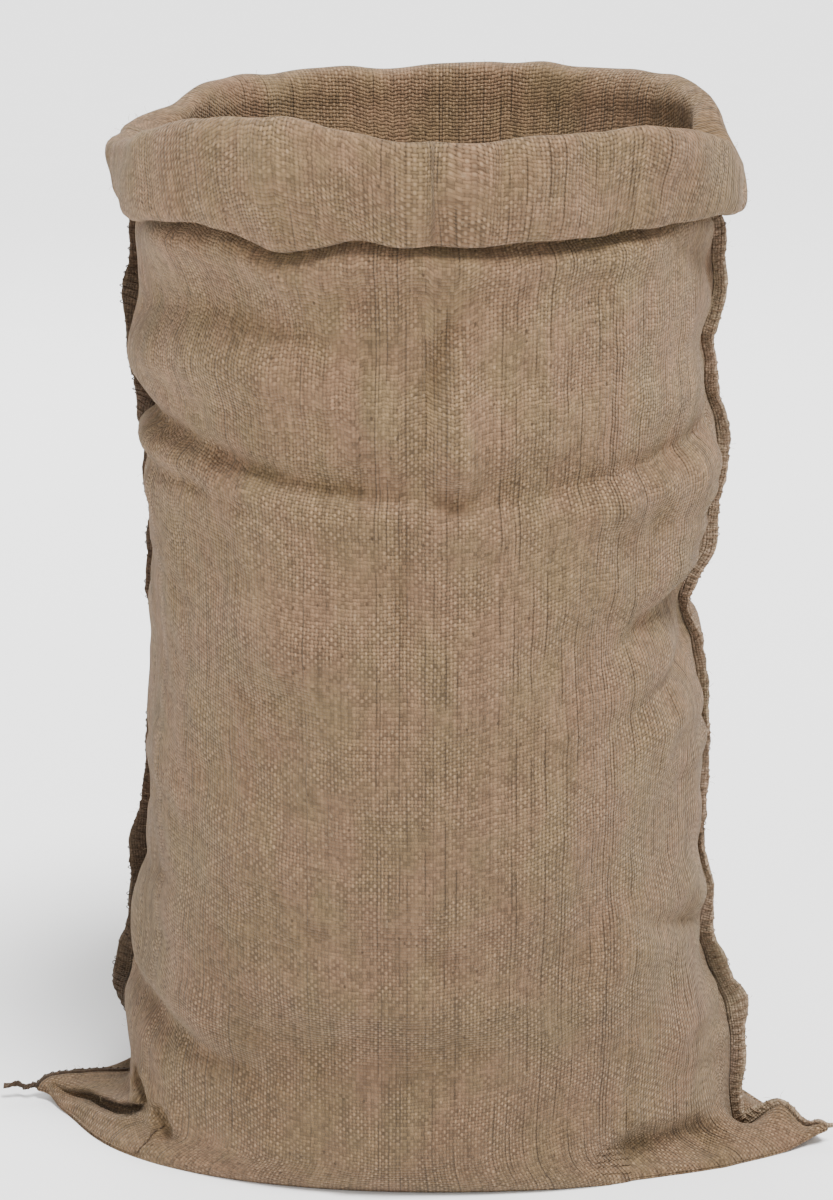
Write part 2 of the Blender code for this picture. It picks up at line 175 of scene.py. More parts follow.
# Round the mouth, from -1 at the left seam to 1 at the right one: how high the rim and the cuff's lower edge
# are, how far the cuff swells past its profile, the share of that by which its lower edge is tucked in, how
# far the rim leans in, and how far it falls away behind its crest
MOUTH_COLUMNS = "across rim edge swell tuck lean fall"
LEFT_END = (-1, 0.589, 0.562, 0, 0.85, 0, 0.006)
RIGHT_END = (1, 0.574, 0.552, -0.001, 0.45, -0.003, 0.013)
FRONT_MOUTH = table(
    MOUTH_COLUMNS,
    LEFT_END,
    (-0.92, 0.59, 0.555, 0, 0.75, 0, 0.007),
    (-0.827, 0.59, 0.555, -0.001, 0.5, 0, 0.006),
    (-0.68, 0.597, 0.557, 0.001, 0.15, 0.001, 0.004),
    (-0.527, 0.606, 0.559, 0.001, 0.34, 0, 0),
    (-0.354, 0.617, 0.559, 0.001, 0.48, 0, 0),
    (-0.22, 0.619, 0.55, 0.001, 0.54, 0, 0),
    (-0.08, 0.612, 0.5575, -0.001, 0.58, 0, 0),
    (0.06, 0.609, 0.557, -0.001, 0.6, 0, 0),
    (0.22, 0.607, 0.5555, -0.001, 0.6, 0, 0),
    (0.42, 0.6095, 0.557, -0.001, 0.58, 0, 0),
    (0.6, 0.61, 0.559, 0, 0.46, 0, 0),
    (0.69, 0.607, 0.561, 0, 0.36, 0, 0.002),
    (0.753, 0.6035, 0.561, 0, 0.2, 0, 0.006),
    (0.827, 0.5945, 0.559, 0, 0.15, 0, 0.011),
    (0.917, 0.583, 0.555, 0, 0.25, -0.001, 0.013),
    RIGHT_END,
)
BACK_MOUTH = table(
    MOUTH_COLUMNS,
    LEFT_END,
    (-0.86, 0.594, 0.553, -0.001, 0.65, 0.002, 0.002),
    (-0.765, 0.598, 0.55, -0.001, 0.35, 0.005, 0),
    (-0.69, 0.602, 0.55, 0, 0.1, 0.003, 0),
    (-0.5, 0.606, 0.553, 0, 0, 0.001, 0),
    (-0.15, 0.609, 0.557, 0.001, 0, 0, 0),
    (0.25, 0.611, 0.551, -0.001, 0, 0, 0),
    (0.55, 0.611, 0.555, 0, 0, 0.001, 0),
    (0.65, 0.609, 0.557, -0.001, 0, 0.003, 0),
    (0.72, 0.603, 0.557, -0.001, 0.05, 0.004, 0),
    (0.81, 0.592, 0.555, -0.001, 0.1, 0.005, 0),
    (0.87, 0.583, 0.552, 0, 0.15, 0.004, 0.006),
    (0.94, 0.57, 0.551, 0, 0.2, 0.003, 0.011),
    RIGHT_END,
)

# Creases: a trough from one place through a second to a third, in metres across from the panel's middle and
# metres up. It fades out over the second half of its way. A softer ridge lies its rise above it, and the
# crisp share of the depth is a narrow furrow along its bottom. A negative depth makes a ridge of the trough.
CREASE_COLUMNS = "start middle end depth width ridge rise crisp"
FRONT_CREASES = table(
    CREASE_COLUMNS,
    # the long crease that hangs across the belly like a smile, from seam to seam
    ((-HALF, 0.444), (-0.15, 0.441), (-0.05, 0.426), 0.0085, 0.0085, 0.0045, -0.018, 0.35),
    ((-0.105, 0.431), (-0.03, 0.423), (0.085, 0.414), 0.006, 0.0085, 0.003, -0.016, 0.3),
    ((0.225, 0.44), (0.115, 0.424), (0.015, 0.412), 0.0048, 0.008, 0.0045, -0.017, 0.3),
    ((HALF, 0.432), (0.15, 0.438), (0.04, 0.428), 0.0045, 0.015, 0, 0.02, 0),
    ((-0.2, 0.419), (-0.117, 0.414), (-0.045, 0.4), 0.005, 0.007, 0.002, -0.015, 0.25),
    # under the left of the cuff
    ((-0.19, 0.502), (-0.085, 0.509), (0.03, 0.484), 0.0058, 0.011, 0.0045, -0.026, 0.2),
    # upright folds near the middle
    ((0.03, 0.506), (0.022, 0.48), (0.014, 0.42), 0.0072, 0.0075, 0, 0.02, 0.2),
    ((0.037, 0.436), (0.036, 0.46), (0.043, 0.51), -0.0065, 0.0105, 0, 0.02, 0),
    ((0.007, 0.4), (0.004, 0.355), (0.01, 0.29), 0.005, 0.008, 0, 0.02, 0.2),
    # at the lower left
    ((-0.215, 0.099), (-0.15, 0.086), (-0.06, 0.066), 0.0095, 0.013, 0.003, 0.028, 0.1),
    # folds that run in from the notch in the right seam
    ((HALF, 0.338), (0.19, 0.344), (0.115, 0.322), 0.009, 0.011, 0.0045, -0.024, 0.2),
    ((HALF, 0.312), (0.185, 0.302), (0.112, 0.274), 0.0065, 0.011, 0.0035, -0.024, 0.15),
    # smaller folds that run in from the seams, lower down
    ((HALF, 0.134), (0.195, 0.148), (0.14, 0.164), 0.0065, 0.011, 0.0035, 0.024, 0.2),
    ((-HALF, 0.166), (-0.19, 0.174), (-0.115, 0.182), 0.0035, 0.011, 0.002, -0.022, 0.1),
)
BACK_CREASES = table(
    CREASE_COLUMNS,
    ((-HALF, 0.446), (-0.15, 0.436), (-0.04, 0.42), 0.006, 0.012, 0.004, 0.024, 0.2),
    ((-0.05, 0.418), (0.09, 0.42), (HALF, 0.446), 0.0055, 0.012, 0.004, -0.022, 0.2),
    ((HALF, 0.51), (0.16, 0.5), (0.07, 0.504), 0.005, 0.014, 0.003, -0.026, 0.15),
    ((-HALF, 0.345), (-0.18, 0.332), (-0.1, 0.3), 0.006, 0.013, 0.003, -0.026, 0.15),
    ((HALF, 0.336), (0.18, 0.33), (0.11, 0.345), 0.006, 0.013, 0.003, -0.024, 0.15),
    ((HALF, 0.23), (0.18, 0.244), (0.12, 0.248), 0.004, 0.013, 0.0025, 0.024, 0.1),
    ((-HALF, 0.15), (-0.17, 0.146), (-0.1, 0.12), 0.0045, 0.014, 0.003, 0.026, 0.1),
    ((HALF, 0.096), (0.19, 0.08), (0.11, 0.066), 0.005, 0.015, 0.003, 0.026, 0.1),
)
CREASE_STEPS = 40
FURROW = 0.0042  # width of a crease's narrow bottom
FURROW_GAIN = 1.6  # its depth, by the crisp share of the crease's
RIDGE_WIDTH = 1.4  # of the ridge beside a crease, by the crease's width
CREASE_FLOOR = 0.03  # creases fade out towards the floor below this height
SEAM_DRAW = 0.0035  # how far the sides are drawn in along the seams
SEAM_DRAW_WIDTH = 0.022
SEAM_DRAW_HEIGHTS = (0.05, 0.12)

# Places where the cloth of an ear or of a seam is moved bodily, and over what reach
NUDGES = table(
    "place move reach",
    # the tips of the ears curl up off the floor
    ((-0.248, 0.006, 0.003), (0.018, 0.005, 0.006), 0.024),
    ((0.243, -0.05, 0.003), (0, 0.002, 0.0095), 0.018),
    ((0.231, -0.0455, 0.01), (0, 0, -0.006), 0.009),
    # the left seam runs down behind the body before it turns out along the ear
    ((-0.179, 0.02, 0.034), (0.012, 0.013, -0.019), 0.019),
    # the right seam turns sharply where it meets the ear
    ((0.193, -0.03, 0.027), (-0.005, -0.008, -0.022), 0.017),
    ((0.2175, -0.0395, 0.0155), (0, 0, 0.006), 0.01),
)

# Folds pressed into the front of the ears, along a line of four places: how deep and how wide, how far the
# cloth beside it stands up, how far back under the cloth above it goes, and over what share of its length it
# grows from the first place
EAR_FOLDS = table(
    "line depth width lip under taper",
    # the hollow of the left ear, under the leaf that its seam makes
    (((-0.229, 0.003, 0.008), (-0.2, -0.0072, 0.0104), (-0.178, -0.0315, 0.0134), (-0.1585, -0.054, 0.027)),
     0.0088, 0.0034, 0.0026, 0.008, 0.45),
    # where the body's side bulges in front of that leaf
    (((-0.1575, -0.055, 0.027), (-0.1613, -0.05, 0.033), (-0.165, -0.0425, 0.038), (-0.1679, -0.0362, 0.046)),
     0.0034, 0.0045, 0.0018, 0.004, 0.18),
    # the dimple beside it
    (((-0.1556, -0.0582, 0.03), (-0.1504, -0.0646, 0.027), (-0.1469, -0.0689, 0.0205),
      (-0.1467, -0.072, 0.012)),
     0.005, 0.0052, 0.0014, 0, 0.18),
    # the valley between the body and the right ear's lobe
    (((0.185, -0.0615, 0.013), (0.17, -0.0705, 0.013), (0.145, -0.085, 0.014), (0.1, -0.106, 0.016)),
     0.009, 0.0125, 0.002, 0.0045, 0.35),
)
EAR_FOLD_END = 0.18  # the share of its length over which a fold dies out at the last place
EAR_FOLD_LEAST = 0.12  # what is left of it at both ends
EAR_STITCHES = ((-0.1497, -0.0668, 0.021), (-0.1657, -0.0653, 0.0024))  # a line of stitches beside the dimple
EAR_STITCH_COUNT = 7
EAR_STITCH_RADIUS = 0.0006

# The doubled edge of each seam: how wide it stands at a height, and how far it leans, forwards where positive
EDGES = table(
    "height left_width right_width left_lean right_lean",
    (0, 0.0018, 0.008, -85, 8),
    (0.01, 0.0018, 0.008, -85, 8),
    (0.02, 0.0022, 0.0085, -80, 4),
    (0.03, 0.003, 0.0088, -70, 6),
    (0.045, 0.0035, 0.0095, -60, 10),
    (0.06, 0.0065, 0.0105, -30, 10),
    (0.08, 0.012, 0.0135, 8, 10),
    (0.11, 0.0145, 0.0125, 12, 14),
    (0.15, 0.017, 0.005, 12, 18),
    (0.175, 0.014, 0.0055, 10, 20),
    (0.2, 0.008, 0.0065, 0, 22),
    (0.3, 0.007, 0.0065, -20, 22),
    (0.34, 0.011, 0.008, 5, 14),
    (0.37, 0.0095, 0.009, -10, 10),
    (0.41, 0.007, 0.007, -25, 10),
    (0.445, 0.014, 0.008, 12, 12),
    (0.475, 0.013, 0.007, 10, 14),
    (0.51, 0.0155, 0.0085, 14, 12),
    (0.54, 0.011, 0.008, 12, 8),
    (0.55, 0.0065, 0.006, 4, 8),
    (0.556, 0.0036, 0.004, 0, 0),
)
SEAM_TOP = (0.003, 0.006, 0.009)  # how the edge runs up under the cuff, above the wall's last row
EAR_TAPER = (0.028, 0.046, 0.062)  # along the right seam from its tip: the edge widens over this stretch
EAR_TAPER_WIDTHS = (0.28, 0.62, 1.0)
EDGE_STEP = 0.0017  # how finely the edge is laid out
EDGE_SOFTENED = 4  # steps to each side over which its bends are softened
EDGE_LAYER = 0.00125  # each of the edge's two layers of cloth
# one of its faces, from the foot out to the fold between the layers: out by its width, aside by the layer
EDGE_OUTLINE = (
    (0, 1), (0.35, 1.05), (0.7, 1.1), (0.9, 1.15), (0.985, 0.95), (1, 0.62), (0.975, 0.3), (0.93, 0),
)
EDGE_WAVE = 0.00025
EDGE_WANDER = 9  # degrees by which its lean wanders
EDGE_WANDER_HEIGHTS = (0.05, 0.1)
EDGE_UNEVEN = 0.05  # share by which its width varies
EDGE_SINK = 0.0006  # how far the edge's foot sits in the cloth it is sewn from
TAIL_LENGTHS = (0.02, 0.003)  # beyond the tips of the left and of the right ear
TIP_LIFT = 0.0022  # of the edge's foot at the tips of the ears, off the floor
TAIL_LIFT = 0.0015
TAIL_TWISTED = 0.024  # of the left edge is twisted together at the tip of the ear
TAIL_TURNS = 1.6
TAIL_WIDTH = 0.0026

# Overcasting: one slanting stitch after another round the doubled edge
STITCH_PITCH = 0.0046
STITCH_SPAN = 0.92 * STITCH_PITCH  # along the seam, from where a stitch starts to where it ends
STITCH_RADIUS = 0.0003
STITCH_START = 0.006  # from the end of the edge
STITCH_JITTER = 0.0004
# its way round the edge: out by the edge's width, aside by a layer of it, and the share of the span
STITCH_WRAP = (
    (0.3, 1.25, 0), (0.6, 1.42, 0.25), (0.88, 1.45, 0.45), (0.99, 0.95, 0.55), (1.03, 0, 0.62),
    (0.99, -0.95, 0.68), (0.88, -1.45, 0.78), (0.6, -1.42, 0.9), (0.3, -1.25, 1),
)

# Unevenness of the cloth
UNEVEN_COLUMNS = "amount seed size count"
UNEVEN_WALL = table(UNEVEN_COLUMNS, (0.0013, 3, 0.075, 16), (0.00045, 4, 0.022, 20))
UNEVEN_HEIGHTS = (0.004, 0.03)  # over which the wall's unevenness sets in above the floor
UNEVEN_CUFF = table(UNEVEN_COLUMNS, (0.0011, 21, 0.085, 10), (0.0005, 22, 0.028, 12))
UNEVEN_RIM = table(UNEVEN_COLUMNS, (0.0009, 23, 0.07, 8), (0.0004, 24, 0.024, 8))
PUCKER = 0.0022  # short folds gathered by the sewing
PUCKER_SIZE = 0.034
PUCKER_REACH = 0.034
PUCKER_START = 0.008  # from the seam
PUCKER_HEIGHTS = (0.02, 0.06)
LEVEL_HEIGHTS = (0.002, 0.012)  # towards the floor the cloth is moved sideways only

# The weave, laid out in metres along the cloth
UV_NAME = "cloth"
WEAVE_PITCH = 0.00205
EDGE_PITCH = 0.0016  # in the doubled edges, where the cloth is pulled together
WEAVE_RELIEF = 0.0011
TWINE_RELIEF = 0.0003

# Colours: of the threads; of the holes between them, which as painted shade also darkens the weave's hollows;
# and of a painted highlight on the threads' tops, which also tints pale flecks
HESSIAN = ((0.178, 0.111, 0.0595), (0.05, 0.029, 0.0145), (0.35, 0.242, 0.146))
# the left seam's edge: the panels' cloth darkened as painted shade, for the side of the seam that is turned
# away from the light
PAINTED_SHADE_EDGE = ((0.066, 0.04, 0.024), (0.024, 0.014, 0.008), (0.11, 0.072, 0.046))
# the right seam's edge: the panels' cloth lightened past its own colour as painted light
PAINTED_LIGHT_EDGE = ((0.275, 0.196, 0.13), (0.095, 0.063, 0.04), (0.38, 0.285, 0.2))
# the paler and the darker strands of the twine and of the fibres
# the left seam's twine, darkened to match its edge as painted shade
PAINTED_SHADE_TWINE = ((0.085, 0.054, 0.033), (0.046, 0.028, 0.017))
PALE_TWINE = ((0.22, 0.145, 0.09), (0.13, 0.083, 0.05))
FLUFF = ((0.35, 0.26, 0.165), (0.225, 0.155, 0.095))
FLOOR = ((0.91, 0.91, 0.91, 1), (0.93, 0.93, 0.93, 1))
# what the cloth's colour is multiplied by in places
PINKER = (1.05, 0.97, 1.0)
GREENER = (0.96, 1.01, 0.92)
DULLER = (0.8, 0.76, 0.7)
DARKER = (0.8, 0.75, 0.7)

# Loose fibres
FIBRES_ON_CLOTH = 900
FIBRES_ON_CUFF = 0.35  # the share of those that stand on the cuff
FIBRES_ON_EDGES = 110
FIBRE_LENGTHS = (0.0015, 0.0055)
EDGE_FIBRE_LENGTHS = (0.002, 0.007)
FIBRE_RADIUS = 0.00007

# The camera that sees the sack as the photograph does
CAMERA_PLACE = (0.0, -1.657, 0.829)
CAMERA_DOWN = math.radians(17.0)
CAMERA_LENS = 90.0
SENSOR = 36.0

# A soft studio: name, kind, place, power, and the sun's angle in degrees or an area's side in metres
LIGHTS = (
    ("key", "SUN", (0.75, -1.05, 3.4), 6.9, 20),
    ("fill", "AREA", (-1.8, -1.5, 1.3), 17, 1.3),
    ("behind", "AREA", (-0.5, 2.2, 1.7), 29, 1.3),
)
LIT_PLACE = (0, 0, 0.3)  # where they all point
WORLD_STRENGTH = 0.8
FLOOR_REACH = 40


# ---- Shape

def smooth_lookup(rows, key, column, value):
    """A column of a table at a value of its key, along a smooth curve through the rows."""
    keys = np.array([getattr(row, key) for row in rows])
    given = np.array([getattr(row, column) for row in rows])
    slopes = np.gradient(given, keys)
    at = np.clip(value, keys[0], keys[-1])
    low = np.clip(np.searchsorted(keys, at, side="right") - 1, 0, len(keys) - 2)
    span = keys[low + 1] - keys[low]
    part = (at - keys[low]) / span
    square, cube = part**2, part**3
    return (
        (2 * cube - 3 * square + 1) * given[low]
        + (cube - 2 * square + part) * span * slopes[low]
        + (3 * square - 2 * cube) * given[low + 1]
        + (cube - square) * span * slopes[low + 1]
    )


def smooth_step(low, high, value):
    part = np.clip((value - low) / (high - low), 0, 1)
    return part * part * (3 - 2 * part)


def unit(vectors):
    return vectors / np.maximum(np.linalg.norm(vectors, axis=-1, keepdims=True), 1e-12)


def lengths(points):
    """How far along a line each of its points lies, or each row of a grid along its own upright threads."""
    steps = np.cumsum(np.linalg.norm(np.diff(points, axis=0), axis=-1), axis=0)
    return np.concatenate([np.zeros_like(steps[:1]), steps])


def at_places(places, along, line):
    """What a line's columns are at some places along it."""
    return np.stack([np.interp(places, along, column) for column in np.transpose(line)], axis=-1)


def nearest_on(line, points):
    """How far each of many points is from the points of a line, and which of those is the nearest."""
    away = np.full(points.shape[:-1], np.inf)
    nearest = np.zeros(away.shape, dtype=int)
    for k, place in enumerate(line):
        gap = np.linalg.norm(points - place, axis=-1)
        nearest = np.where(gap < away, k, nearest)
        away = np.minimum(gap, away)
    return away, nearest


def waves(seed, size, count, *places):
    """Smooth unevenness about 0 with a spread of about 1: a seeded sum of waves of roughly one size."""
    rng = np.random.default_rng(seed)
    total = 0.0
    for _ in range(count):
        way = rng.normal(size=len(places))
        way /= np.linalg.norm(way)
        length = size * rng.uniform(0.7, 1.5)
        along = sum(w * place for w, place in zip(way, places))
        total = total + np.sin(2 * math.pi * along / length + rng.uniform(0, 2 * math.pi))
    return total * math.sqrt(2 / count)


def uneven(rows, *places):
    return sum(row.amount * waves(row.seed, row.size, row.count, *places) for row in rows)


def columns_across():
    """Where the grid's upright threads lie across a panel, from -1 to 1, closer together at the seams."""
    even = np.linspace(-1, 1, COLUMNS + 1)
    return even + CROWDING * np.sin(math.pi * even) / math.pi


def shared_out(points, middle_x, height):
    """The same line with a point for each column of the grid.

    Above the ears the upright threads keep their distance from the middle, and the cloth by the seams gives.
    """
    along = lengths(points)
    middle = np.interp(middle_x, points[:, 0], along)
    across = columns_across()
    half = np.where(across < 0, middle, along[-1] - middle)
    power = 1 + GIVE * smooth_step(EAR_HEIGHT, GIVE_HEIGHT, height)
    spare = (half - HALF) * np.abs(across) ** power
    places = middle + np.sign(across) * (np.abs(across) * HALF + spare)
    return at_places(places, along, points)


def rounded(value, power):
    return np.sign(value) * np.abs(value) ** power


def half_section(height, is_front):
    """The front or the back of a section, from the left seam to the right, with the ears drawn out."""
    names = SECTIONS[0]._fields[1:]
    left, right, front, back = (smooth_lookup(SECTIONS, "height", name, height) for name in names)
    turn = np.linspace(TWIST, math.pi + TWIST, DENSE)
    if not is_front:
        turn = TWIST - (turn - TWIST)
        right = right - BACK_TRIM * (1 - smooth_step(0.0, BACK_TRIM_HEIGHT, height))
    middle, half = (left + right) / 2, (right - left) / 2
    x = middle - half * rounded(np.cos(turn), 2 / FULLNESS)
    depth = np.where(np.sin(turn) > 0, front, back)
    y = -depth * rounded(np.sin(turn), 2 / FULLNESS)
    follow = 1 - smooth_step(RIDGES[-1].height, RIDGE_TOP, height)
    away = np.abs(turn - turn[0])
    ends = ((x[0], y[0]), (x[-1], y[-1]))
    spreads = EAR_SPREADS if is_front else BACK_EAR_SPREADS
    for (end_x, end_y), side, angle, spread in zip(ends, ("left", "right"), (away, away[::-1]), spreads):
        pull = np.exp(-(np.hypot(angle, EAR_BLUNT) - EAR_BLUNT) / spread) * follow
        x = x + pull * (smooth_lookup(RIDGES, "height", side + "_x", height) - end_x)
        y = y + pull * (smooth_lookup(RIDGES, "height", side + "_y", height) - end_y)
    return np.stack([x, y], axis=1)


def wall_heights():
    ears = np.linspace(0, 1, EAR_ROWS + 1) ** EAR_CROWDING * EAR_HEIGHT
    return np.concatenate([ears, np.linspace(EAR_HEIGHT, WALL_TOP, WALL_ROWS + 1)[1:]])


def sewn(front, back):
    """Both panels, brought together along the seams."""
    front[:, [0, -1]] = back[:, [0, -1]] = (front[:, [0, -1]] + back[:, [0, -1]]) / 2
    return front, back


def wall_rows():
    """The sack's wall as rows of points from the floor up, one array for the front and one for the back."""
    sides = []
    for is_front, middle_x in zip((True, False), MIDDLE_X):
        rows = []
        for height in wall_heights():
            line = shared_out(half_section(height, is_front), middle_x, height)
            rows.append(np.column_stack([line, np.full(len(line), height)]))
        sides.append(np.array(rows))
    return sewn(*sides)


def normals_of(front, back):
    """Unit normals out of the sack at each point of the front and of the back."""
    ring = np.concatenate([front, back[:, -2:0:-1]], axis=1)
    along = np.roll(ring, -1, axis=1) - np.roll(ring, 1, axis=1)
    up = np.gradient(ring, axis=0)
    out = unit(np.cross(along, up))
    count = front.shape[1]
    return out[:, :count], np.concatenate([out[:, :1], out[:, : count - 2 : -1]], axis=1)


def crease_push(creases, across, height):
    """How far the creases push a place in or out, at metres across the panel and metres up."""
    places = np.stack([across, height], axis=-1)
    push = np.zeros_like(height)
    part = np.linspace(0, 1, CREASE_STEPS)[:, None]
    for crease in creases:
        start, middle, end = (np.array(place) for place in (crease.start, crease.middle, crease.end))
        pull = 2 * middle - (start + end) / 2
        points = (1 - part) ** 2 * start + 2 * part * (1 - part) * pull + part**2 * end
        for line, size, width in (
            (points, -crease.depth * (1 - crease.crisp), crease.width),
            (points, -crease.depth * crease.crisp * FURROW_GAIN, FURROW),
            (points + (0, crease.rise), crease.ridge, RIDGE_WIDTH * crease.width),
        ):
            away, nearest = nearest_on(line, places)
            fade = np.clip(2 * (1 - part[nearest, 0]), 0, 1) ** 0.8
            push += size * fade * np.exp(-((away / width) ** 2))
    return push


def nudged(points):
    """Points after the bodily moves, none of them below the floor."""
    moved = points.copy()
    for nudge in NUDGES:
        away = np.linalg.norm(points - nudge.place, axis=-1)
        moved += np.exp(-((away / nudge.reach) ** 2))[..., None] * nudge.move
    moved[..., 2] = np.maximum(moved[..., 2], 0.0)
    return moved


def ear_push(points, out):
    """How far the folds of the ears move each point."""
    move = np.zeros(points.shape)
    for fold in EAR_FOLDS:
        corners = len(fold.line)
        line = at_places(np.linspace(0, corners - 1, CREASE_STEPS), range(corners), fold.line)
        away, nearest = nearest_on(line, points)
        from_start, from_end = nearest / fold.taper, (CREASE_STEPS - 1 - nearest) / EAR_FOLD_END
        fade = np.clip(np.minimum(from_start, from_end) / CREASE_STEPS, EAR_FOLD_LEAST, 1)
        trough = fade * np.exp(-((away / (fold.width * (0.55 + 0.45 * fade))) ** 3))
        beside = fade * np.exp(-(((away - 2.1 * fold.width) / fold.width) ** 2))
        above = points[..., 1] > line[nearest, 1]
        move += out * (fold.lip * beside - fold.depth * trough)[..., None]
        move[..., 1] += fold.under * (trough - 0.55 * beside * above)
    return move


def seam_puckers(seed, across, height):
    """Short folds that the sewing gathers along both seams, dying out into the panel."""
    push = np.zeros_like(height)
    for side in (-1, 1):
        away = HALF - side * across
        slid = height + 0.25 * away * waves(seed + 5 + side, 0.15, 3, height)
        strength = 0.6 + 0.4 * waves(seed + 9 + side, 0.19, 3, height)
        fade = np.exp(-away / PUCKER_REACH) * (1 - np.exp(-((away / PUCKER_START) ** 2)))
        push += PUCKER * waves(seed + side, PUCKER_SIZE, 6, slid) * strength * fade
    return push


def pinched():
    """How far the wall draws in under the cuff, at each column."""
    return PINCH * (1 - PINCH_LET_OFF * smooth_step(*PINCH_ENDS, np.abs(columns_across())))


def folded(front, back):
    """The wall with its creases, puckers and lumps, and its sides drawn in along the seams."""
    shaped = []
    out_front, out_back = normals_of(front, back)
    from_seam = np.abs(columns_across())
    bulge = BULGE * (1 - BULGE_LET_OFF * smooth_step(*BULGE_ENDS, from_seam))
    for rows, out, creases, mouth, seed in (
        (front, out_front, FRONT_CREASES, FRONT_MOUTH, 11),
        (back, out_back, BACK_CREASES, BACK_MOUTH, 47),
    ):
        across = columns_across() * HALF * np.ones((len(rows), 1))
        height = rows[..., 2]
        push = crease_push(creases, across, height) * smooth_step(0.0, CREASE_FLOOR, height)
        near_seam = np.exp(-(((HALF - np.abs(across)) / SEAM_DRAW_WIDTH) ** 2))
        push = push * (1 - near_seam) - SEAM_DRAW * smooth_step(*SEAM_DRAW_HEIGHTS, height) * near_seam
        lift = smooth_step(*UNEVEN_HEIGHTS, height)
        x, y, z = (rows[..., k] for k in range(3))
        push += uneven(UNEVEN_WALL, x, y, z) * lift
        push += seam_puckers(seed, across, height) * smooth_step(*PUCKER_HEIGHTS, height)
        edge = smooth_lookup(mouth, "across", "edge", columns_across())
        rise = smooth_step(*FOLLOW_EDGE, height) * (edge - UNDER_EDGE - WALL_TOP)
        below = height + rise - edge
        push += bulge * np.exp(-(((below - BULGE_HEIGHT) / BULGE_REACH) ** 2))
        push -= (0.5 * bulge + pinched()) * smooth_step(*PINCH_HEIGHTS, below)
        way = out.copy()
        way[..., 2] *= smooth_step(*LEVEL_HEIGHTS, height)
        moved = rows + unit(way) * push[..., None]
        moved[..., 2] += rise
        if creases is FRONT_CREASES:
            moved += ear_push(rows, out)
        shaped.append(nudged(moved))
    return sewn(*shaped)


def fine_cuff():
    """The cuff's profile on a smooth curve, evenly laid out: (out, share, whether past the rim, length)."""
    along = lengths(np.array(CUFF) * (1, CUFF_TALL))
    stops = table("at out share", *np.column_stack([along, CUFF]))
    at = np.linspace(0, along[-1], CUFF_ROWS + 1)[1:]
    out, share = smooth_lookup(stops, "at", "out", at), smooth_lookup(stops, "at", "share", at)
    return list(zip(out, share, at > along[CUFF_TURN], at))


def cuff_rows(rows, out, mouth):
    """The turned-down mouth that goes on above the wall's last row, over the rim and down outside."""
    across = columns_across()
    names = mouth[0]._fields[1:]
    rim, edge, swell, tuck, lean, fall = (smooth_lookup(mouth, "across", name, across) for name in names)
    widest = max(point.out for point in CUFF)
    at_seam = smooth_step(0.7, 0.97, np.abs(across))
    base = rows[-1]
    x, y = base[:, 0], base[:, 1]
    made = []
    for reach, share, outside, along in fine_cuff():
        low = (1 - share) ** 2 if outside else 0
        before_turn = 0 if outside else 1 - reach / CUFF[CUFF_TURN].out
        inset = ROLL_INSET * smooth_step(0.35, 0.95, share) * before_turn
        inwards = inset * at_seam + lean * smooth_step(0.5, 0.98, share)
        inwards = inwards - pinched() * (1 if outside else smooth_step(0.1, 0.7, share))
        line = base + out * (reach * (1 + swell / widest) * (1 - tuck * low) - inwards)[:, None]
        line[:, 2] = edge + (rim - edge) * share - fall * smooth_step(0.5, 0.9, share) * before_turn
        run = np.full_like(x, along)
        loose = smooth_step(0.0, 0.004, reach)
        line += out * (uneven(UNEVEN_CUFF, x, y, run) * loose)[:, None]
        line[:, 2] += uneven(UNEVEN_RIM, x, y) * loose
        made.append(line)
    return np.array(made)


def panels():
    """The outer faces of both panels as grids of points, from the bottom fold to the hem.

    With them come the two seams, as lines and the ways out of the sack along them, and the plain front wall.
    """
    plain_front, plain_back = wall_rows()
    walls = folded(plain_front, plain_back)
    outs = [unit(normals * (1, 1, 0)) for normals in normals_of(*walls)]
    sides = []
    for wall, out, mouth in zip(walls, outs, (FRONT_MOUTH, BACK_MOUTH)):
        steady = unit(out[-SHOULDER_ROWS:].mean(axis=0))
        sides.append(np.concatenate([wall, cuff_rows(wall, steady, mouth)]))
    front, back = sewn(*sides)
    middle = (front[0] + back[0]) / 2
    grids = []
    for rows in (front, back):
        base = [middle + (rows[0] - middle) * step / BASE_STEPS for step in range(BASE_STEPS)]
        grids.append(np.concatenate([np.array(base), rows]))
    seams = [(front[: len(plain_front), column], outs[0][:, column]) for column in (0, -1)]
    return grids, seams, plain_front


def outward(grid, is_front):
    """Unit normals out of the sack at each point of a panel."""
    up, across = np.gradient(grid, axis=0), np.gradient(grid, axis=1)
    return unit(np.cross(across, up)) * (1 if is_front else -1)


# ---- Pieces

def placed(name, data, location=(0, 0, 0), rotation=(0, 0, 0)):
    made = bpy.data.objects.new(name, data)
    made.location = location
    made.rotation_euler = rotation
    bpy.context.scene.collection.objects.link(made)
    return made


def finished(name, mesh, finish):
    made = placed(name, mesh)
    mesh.materials.append(finish)
    mesh.shade_smooth()
    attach(made, "root")
    return made


def mesh_from(name, points, faces, uvs=None):
    mesh = bpy.data.meshes.new(name)
    mesh.from_pydata([tuple(p) for p in points], [], [tuple(f) for f in faces])
    if uvs is not None:
        layer = mesh.uv_layers.new(name=UV_NAME)
        corner = np.zeros(len(mesh.loops), dtype=np.int32)
        mesh.loops.foreach_get("vertex_index", corner)
        layer.data.foreach_set("uv", np.asarray(uvs)[corner].astype(np.float32).ravel())
    mesh.update()
    return mesh


